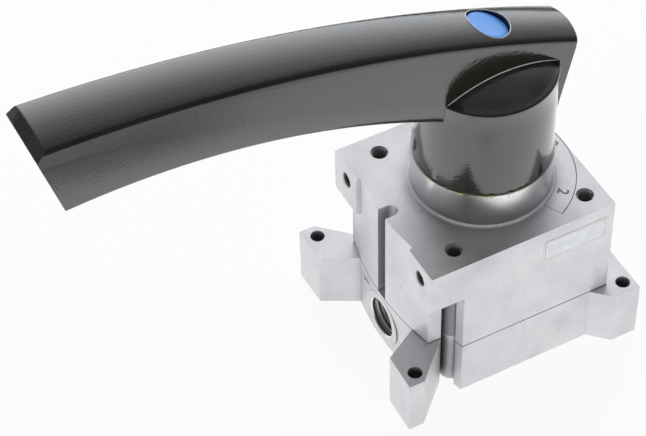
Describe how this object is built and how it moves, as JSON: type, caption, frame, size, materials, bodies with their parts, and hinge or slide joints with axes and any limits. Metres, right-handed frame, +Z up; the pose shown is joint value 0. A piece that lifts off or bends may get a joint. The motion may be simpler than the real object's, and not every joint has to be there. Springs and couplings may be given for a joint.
{
  "type": "hand lever air valve",
  "caption": "Rotary slide valve for compressed air with a lugged two-part housing, an arched hand lever on a collar and threaded ports at the base.",
  "frame": {"origin": "the spindle's axis at the bottom face of the lower housing", "axes": "+Z up along the spindle, -X along the lever at rest, +X towards the middle mark of the dial"},
  "size_m": [0.172, 0.0694, 0.143],
  "materials": {
    "housing_alloy": "fine bead-blasted die casting, light silver grey",
    "lever_coat": "satin to glossy dark olive-black coat",
    "cap_plastic": "glossy bright blue",
    "seal_rubber": "smooth black",
    "steel": "turned",
    "ball_steel": "polished",
    "bush_bronze": "sintered bronze",
    "seat_brass": "lapped",
    "disc_plastic": "lapped natural acetal"
  },
  "bodies": {
    "housing": {"lower_housing": "housing_alloy", "upper_housing": "housing_alloy", "seat_plate": "seat_brass", "port_seals": "seal_rubber", "seat_pins": "steel", "chamber_seal": "seal_rubber", "housing_screws": "steel", "lower_bush": "bush_bronze", "upper_bush": "bush_bronze", "spindle_seal": "seal_rubber", "thrust_washer": "bush_bronze", "detent_plate": "steel", "plate_screws": "steel", "stop_pin": "steel"},
    "lever": {"lever": "lever_coat", "cap_disc": "cap_plastic", "lever_screw": "steel", "lever_washer": "steel", "spindle": "steel", "spindle_clip": "steel", "spring_seat": "steel", "pressure_spring": "steel", "slide_disc": "disc_plastic", "detent_springs": "steel"},
    "detent_balls": {"detent_balls": "ball_steel"}
  },
  "joints": [
    {"name": "lever_turn", "type": "hinge", "parent": "housing", "child": "lever", "pos_m": [0, 0, 0], "axis": [0, 0, 1], "range_deg": [-45, 45]},
    {"name": "detent_drop", "type": "slide", "parent": "lever", "child": "detent_balls", "axis": [0, 0, -1], "range_m": [0, 0.0007], "deforming": ["detent_springs"]}
  ]
}
